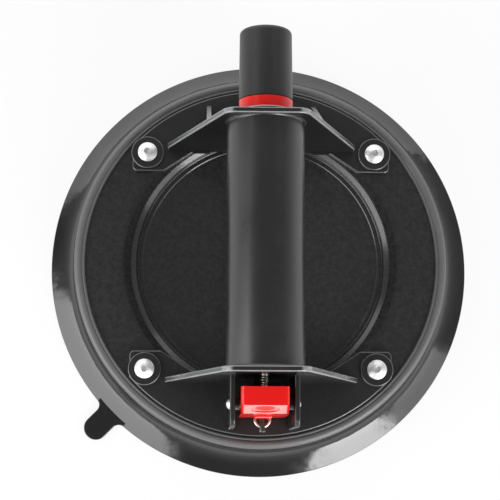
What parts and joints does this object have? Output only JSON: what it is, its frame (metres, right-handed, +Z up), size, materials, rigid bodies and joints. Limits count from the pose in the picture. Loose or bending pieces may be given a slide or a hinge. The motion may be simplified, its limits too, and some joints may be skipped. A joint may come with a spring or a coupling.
{
  "type": "suction lifter",
  "caption": "Hand-pumped vacuum lifter for floor tiles: a round rubber pad, a backing plate and a barrel grip with plunger and red release lever.",
  "frame": {"origin": "centre of the round pad on the plane of its sealing face", "axes": "+Z up, away from the tile; +Y along the barrel towards the plunger; the release lever is at -Y"},
  "size_m": [0.21, 0.21, 0.0992],
  "materials": {
    "pad_rubber": "soft black moulded rubber with a low sheen",
    "plate_paint": "black powder coat on pressed steel",
    "handle_plastic": "black moulded plastic with a fine grain",
    "screw_steel": "bright plated steel",
    "nut_steel": "zinc plated steel",
    "spring_steel": "drawn spring wire",
    "seal_rubber": "black rubber",
    "valve_rubber": "dark grey silicone rubber",
    "filter_foam": "open grey foam",
    "wiper_felt": "pressed felt",
    "collar_plastic": "black moulded plastic",
    "pump_plastic": "natural acetal",
    "cap_plastic": "black plastic with a soft matt grain",
    "lever_plastic": "saturated red moulded plastic",
    "band_plastic": "saturated red plastic ring"
  },
  "bodies": {
    "base": {"suction_pad": "pad_rubber", "backing_plate": "plate_paint", "handle_body": "handle_plastic", "handle_screws": "screw_steel", "plate_nuts": "nut_steel", "port_seal_ring": "seal_rubber", "air_filter": "filter_foam", "barrel_collar": "collar_plastic", "wiper_ring": "wiper_felt", "check_valve_seat": "pump_plastic", "check_valve_flap": "valve_rubber", "return_spring": "spring_steel", "lever_spring": "spring_steel", "lever_pin": "screw_steel", "pin_cap": "screw_steel"},
    "plunger": {"plunger_tube": "pump_plastic", "indicator_band": "band_plastic", "plunger_cap": "cap_plastic", "piston_head": "pump_plastic", "piston_seal": "seal_rubber", "piston_screw": "nut_steel"},
    "lever": {"release_lever": "lever_plastic", "release_plug": "seal_rubber", "plug_stem": "screw_steel", "plug_clip": "spring_steel"}
  },
  "joints": [
    {"name": "plunger_slide", "type": "slide", "parent": "base", "child": "plunger", "axis": [0, -1, 0], "range_m": [0, 0.036], "stiffness_N_per_m": 300, "springref_m": -0.01, "deforming": ["return_spring"]},
    {"name": "lever_tilt", "type": "hinge", "parent": "base", "child": "lever", "pos_m": [0, -0.0724, 0.062], "axis": [-1, 0, 0], "range_deg": [0, 14], "stiffness_Nm_per_rad": 0.06, "springref_deg": -17.19, "deforming": ["lever_spring"]}
  ]
}
